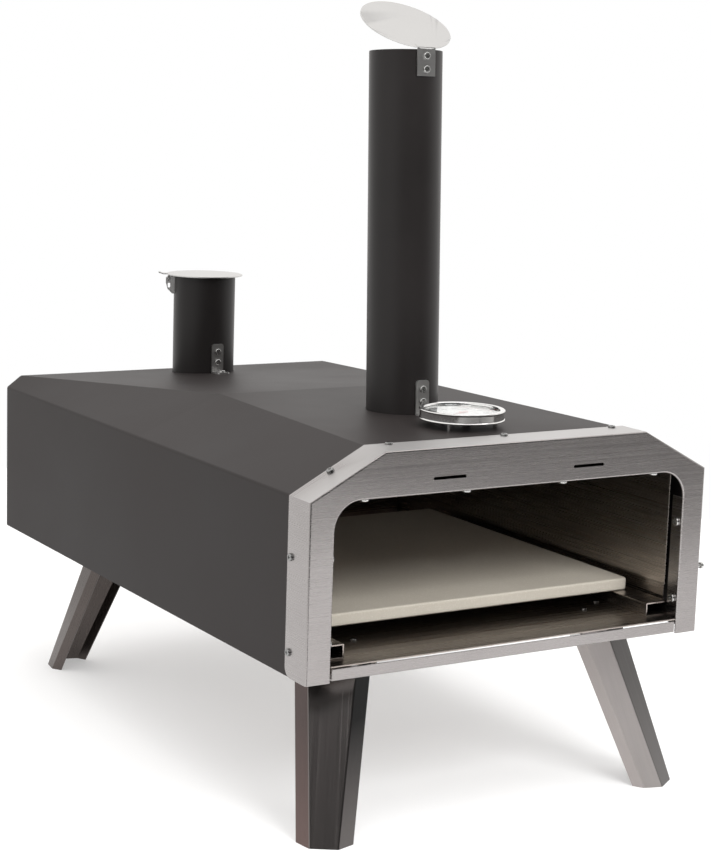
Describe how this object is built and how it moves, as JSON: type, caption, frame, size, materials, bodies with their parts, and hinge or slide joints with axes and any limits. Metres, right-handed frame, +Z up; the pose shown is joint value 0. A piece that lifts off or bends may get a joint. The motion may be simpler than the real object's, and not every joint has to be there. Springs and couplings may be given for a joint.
{
  "type": "wood fired pizza oven",
  "caption": "Tabletop wood fired pizza oven with a wide front mouth, stone floor, tall capped flue, pellet hopper with hinged lid, rear burner tray and folding legs.",
  "frame": {"origin": "on the table, under the middle of the oven: its left-right middle, half way between the front feet and the burner grip", "axes": "+X to the oven's right seen from the front, +Y from the mouth to the rear, +Z up"},
  "size_m": [0.4098, 0.7, 0.6835],
  "materials": {
    "body_paint": "matt high-temperature black paint",
    "pipe_paint": "satin high-temperature black paint",
    "frame_steel": "brushed stainless steel",
    "lining_steel": "plain stainless sheet, slightly heat stained",
    "cap_steel": "fine satin stainless steel",
    "dial_steel": "polished stainless steel",
    "dial_enamel": "white enamel with a printed scale",
    "pointer_paint": "red lacquer",
    "dial_glass": "flat clear glass",
    "burner_steel": "satin stainless sheet",
    "grip_wood": "oiled hardwood",
    "stone": "fine-grained cordierite, matt cream",
    "fastener_steel": "bright zinc-plated steel"
  },
  "bodies": {
    "oven": {"bracket_screws": "fastener_steel", "dial_bezel": "dial_steel", "dial_case": "dial_steel", "dial_face": "dial_enamel", "dial_glass": "dial_glass", "dial_spindle": "dial_steel", "dial_standoffs": "dial_steel", "dial_stem": "dial_steel", "flame_baffle": "lining_steel", "floor_pan": "lining_steel", "floor_screws": "fastener_steel", "flue_brackets": "cap_steel", "flue_cap": "cap_steel", "flue_cap_screws": "fastener_steel", "flue_pipe": "pipe_paint", "flue_ring": "lining_steel", "fold_screws": "fastener_steel", "frame_screws": "fastener_steel", "front_bar": "frame_steel", "front_frame": "frame_steel", "hopper_brackets": "cap_steel", "hopper_pipe": "pipe_paint", "leg_bracket_front_left": "lining_steel", "leg_bracket_front_right": "lining_steel", "leg_bracket_rear_left": "lining_steel", "leg_bracket_rear_right": "lining_steel", "lid_hinge_ears": "cap_steel", "lid_hinge_pin": "fastener_steel", "lining_ceiling": "lining_steel", "lining_left": "lining_steel", "lining_right": "lining_steel", "outer_shell": "body_paint", "pivot_bolt_front_left": "fastener_steel", "pivot_bolt_front_right": "fastener_steel", "pivot_bolt_rear_left": "fastener_steel", "pivot_bolt_rear_right": "fastener_steel", "rail_screws": "fastener_steel", "side_stud": "fastener_steel", "stone_rail_left": "lining_steel", "stone_rail_right": "lining_steel", "tray_guides": "lining_steel"},
    "burner": {"basket_screws": "fastener_steel", "burner_grip": "grip_wood", "burner_handle": "burner_steel", "burner_tray": "burner_steel", "fuel_basket": "burner_steel"},
    "pointer": {"dial_pointer": "pointer_paint"},
    "lid": {"hopper_lid": "cap_steel"},
    "front_left_leg": {"leg_front_left": "frame_steel"},
    "front_right_leg": {"leg_front_right": "frame_steel"},
    "rear_left_leg": {"leg_rear_left": "frame_steel"},
    "rear_right_leg": {"leg_rear_right": "frame_steel"},
    "stone": {"pizza_stone": "stone"}
  },
  "joints": [
    {"name": "front_left_fold", "type": "hinge", "parent": "oven", "child": "front_left_leg", "pos_m": [-0.13411, -0.27591, 0.133], "axis": [0.8387, -0.5446, 0], "range_deg": [0, 108]},
    {"name": "front_right_fold", "type": "hinge", "parent": "oven", "child": "front_right_leg", "pos_m": [0.13411, -0.27591, 0.133], "axis": [0.8387, 0.5446, 0], "range_deg": [0, 108]},
    {"name": "rear_left_fold", "type": "hinge", "parent": "oven", "child": "rear_left_leg", "pos_m": [-0.12311, 0.17391, 0.133], "axis": [-0.8387, -0.5446, 0], "range_deg": [0, 108]},
    {"name": "rear_right_fold", "type": "hinge", "parent": "oven", "child": "rear_right_leg", "pos_m": [0.12311, 0.17391, 0.133], "axis": [-0.8387, 0.5446, 0], "range_deg": [0, 108]},
    {"name": "lid_hinge", "type": "hinge", "parent": "oven", "child": "lid", "pos_m": [-0.03385, 0.25364, 0.402], "axis": [-0.4305, -0.9026, 0], "range_deg": [0, 95]},
    {"name": "burner_slide", "type": "slide", "parent": "oven", "child": "burner", "axis": [0, 1, 0], "range_m": [0, 0.14]},
    {"name": "stone_slide", "type": "slide", "parent": "oven", "child": "stone", "axis": [0, -1, 0], "range_m": [0, 0.4]},
    {"name": "pointer_turn", "type": "hinge", "parent": "oven", "child": "pointer", "pos_m": [0, -0.2555, 0.3325], "axis": [0, 0, 1], "range_deg": [-250, 20]}
  ]
}
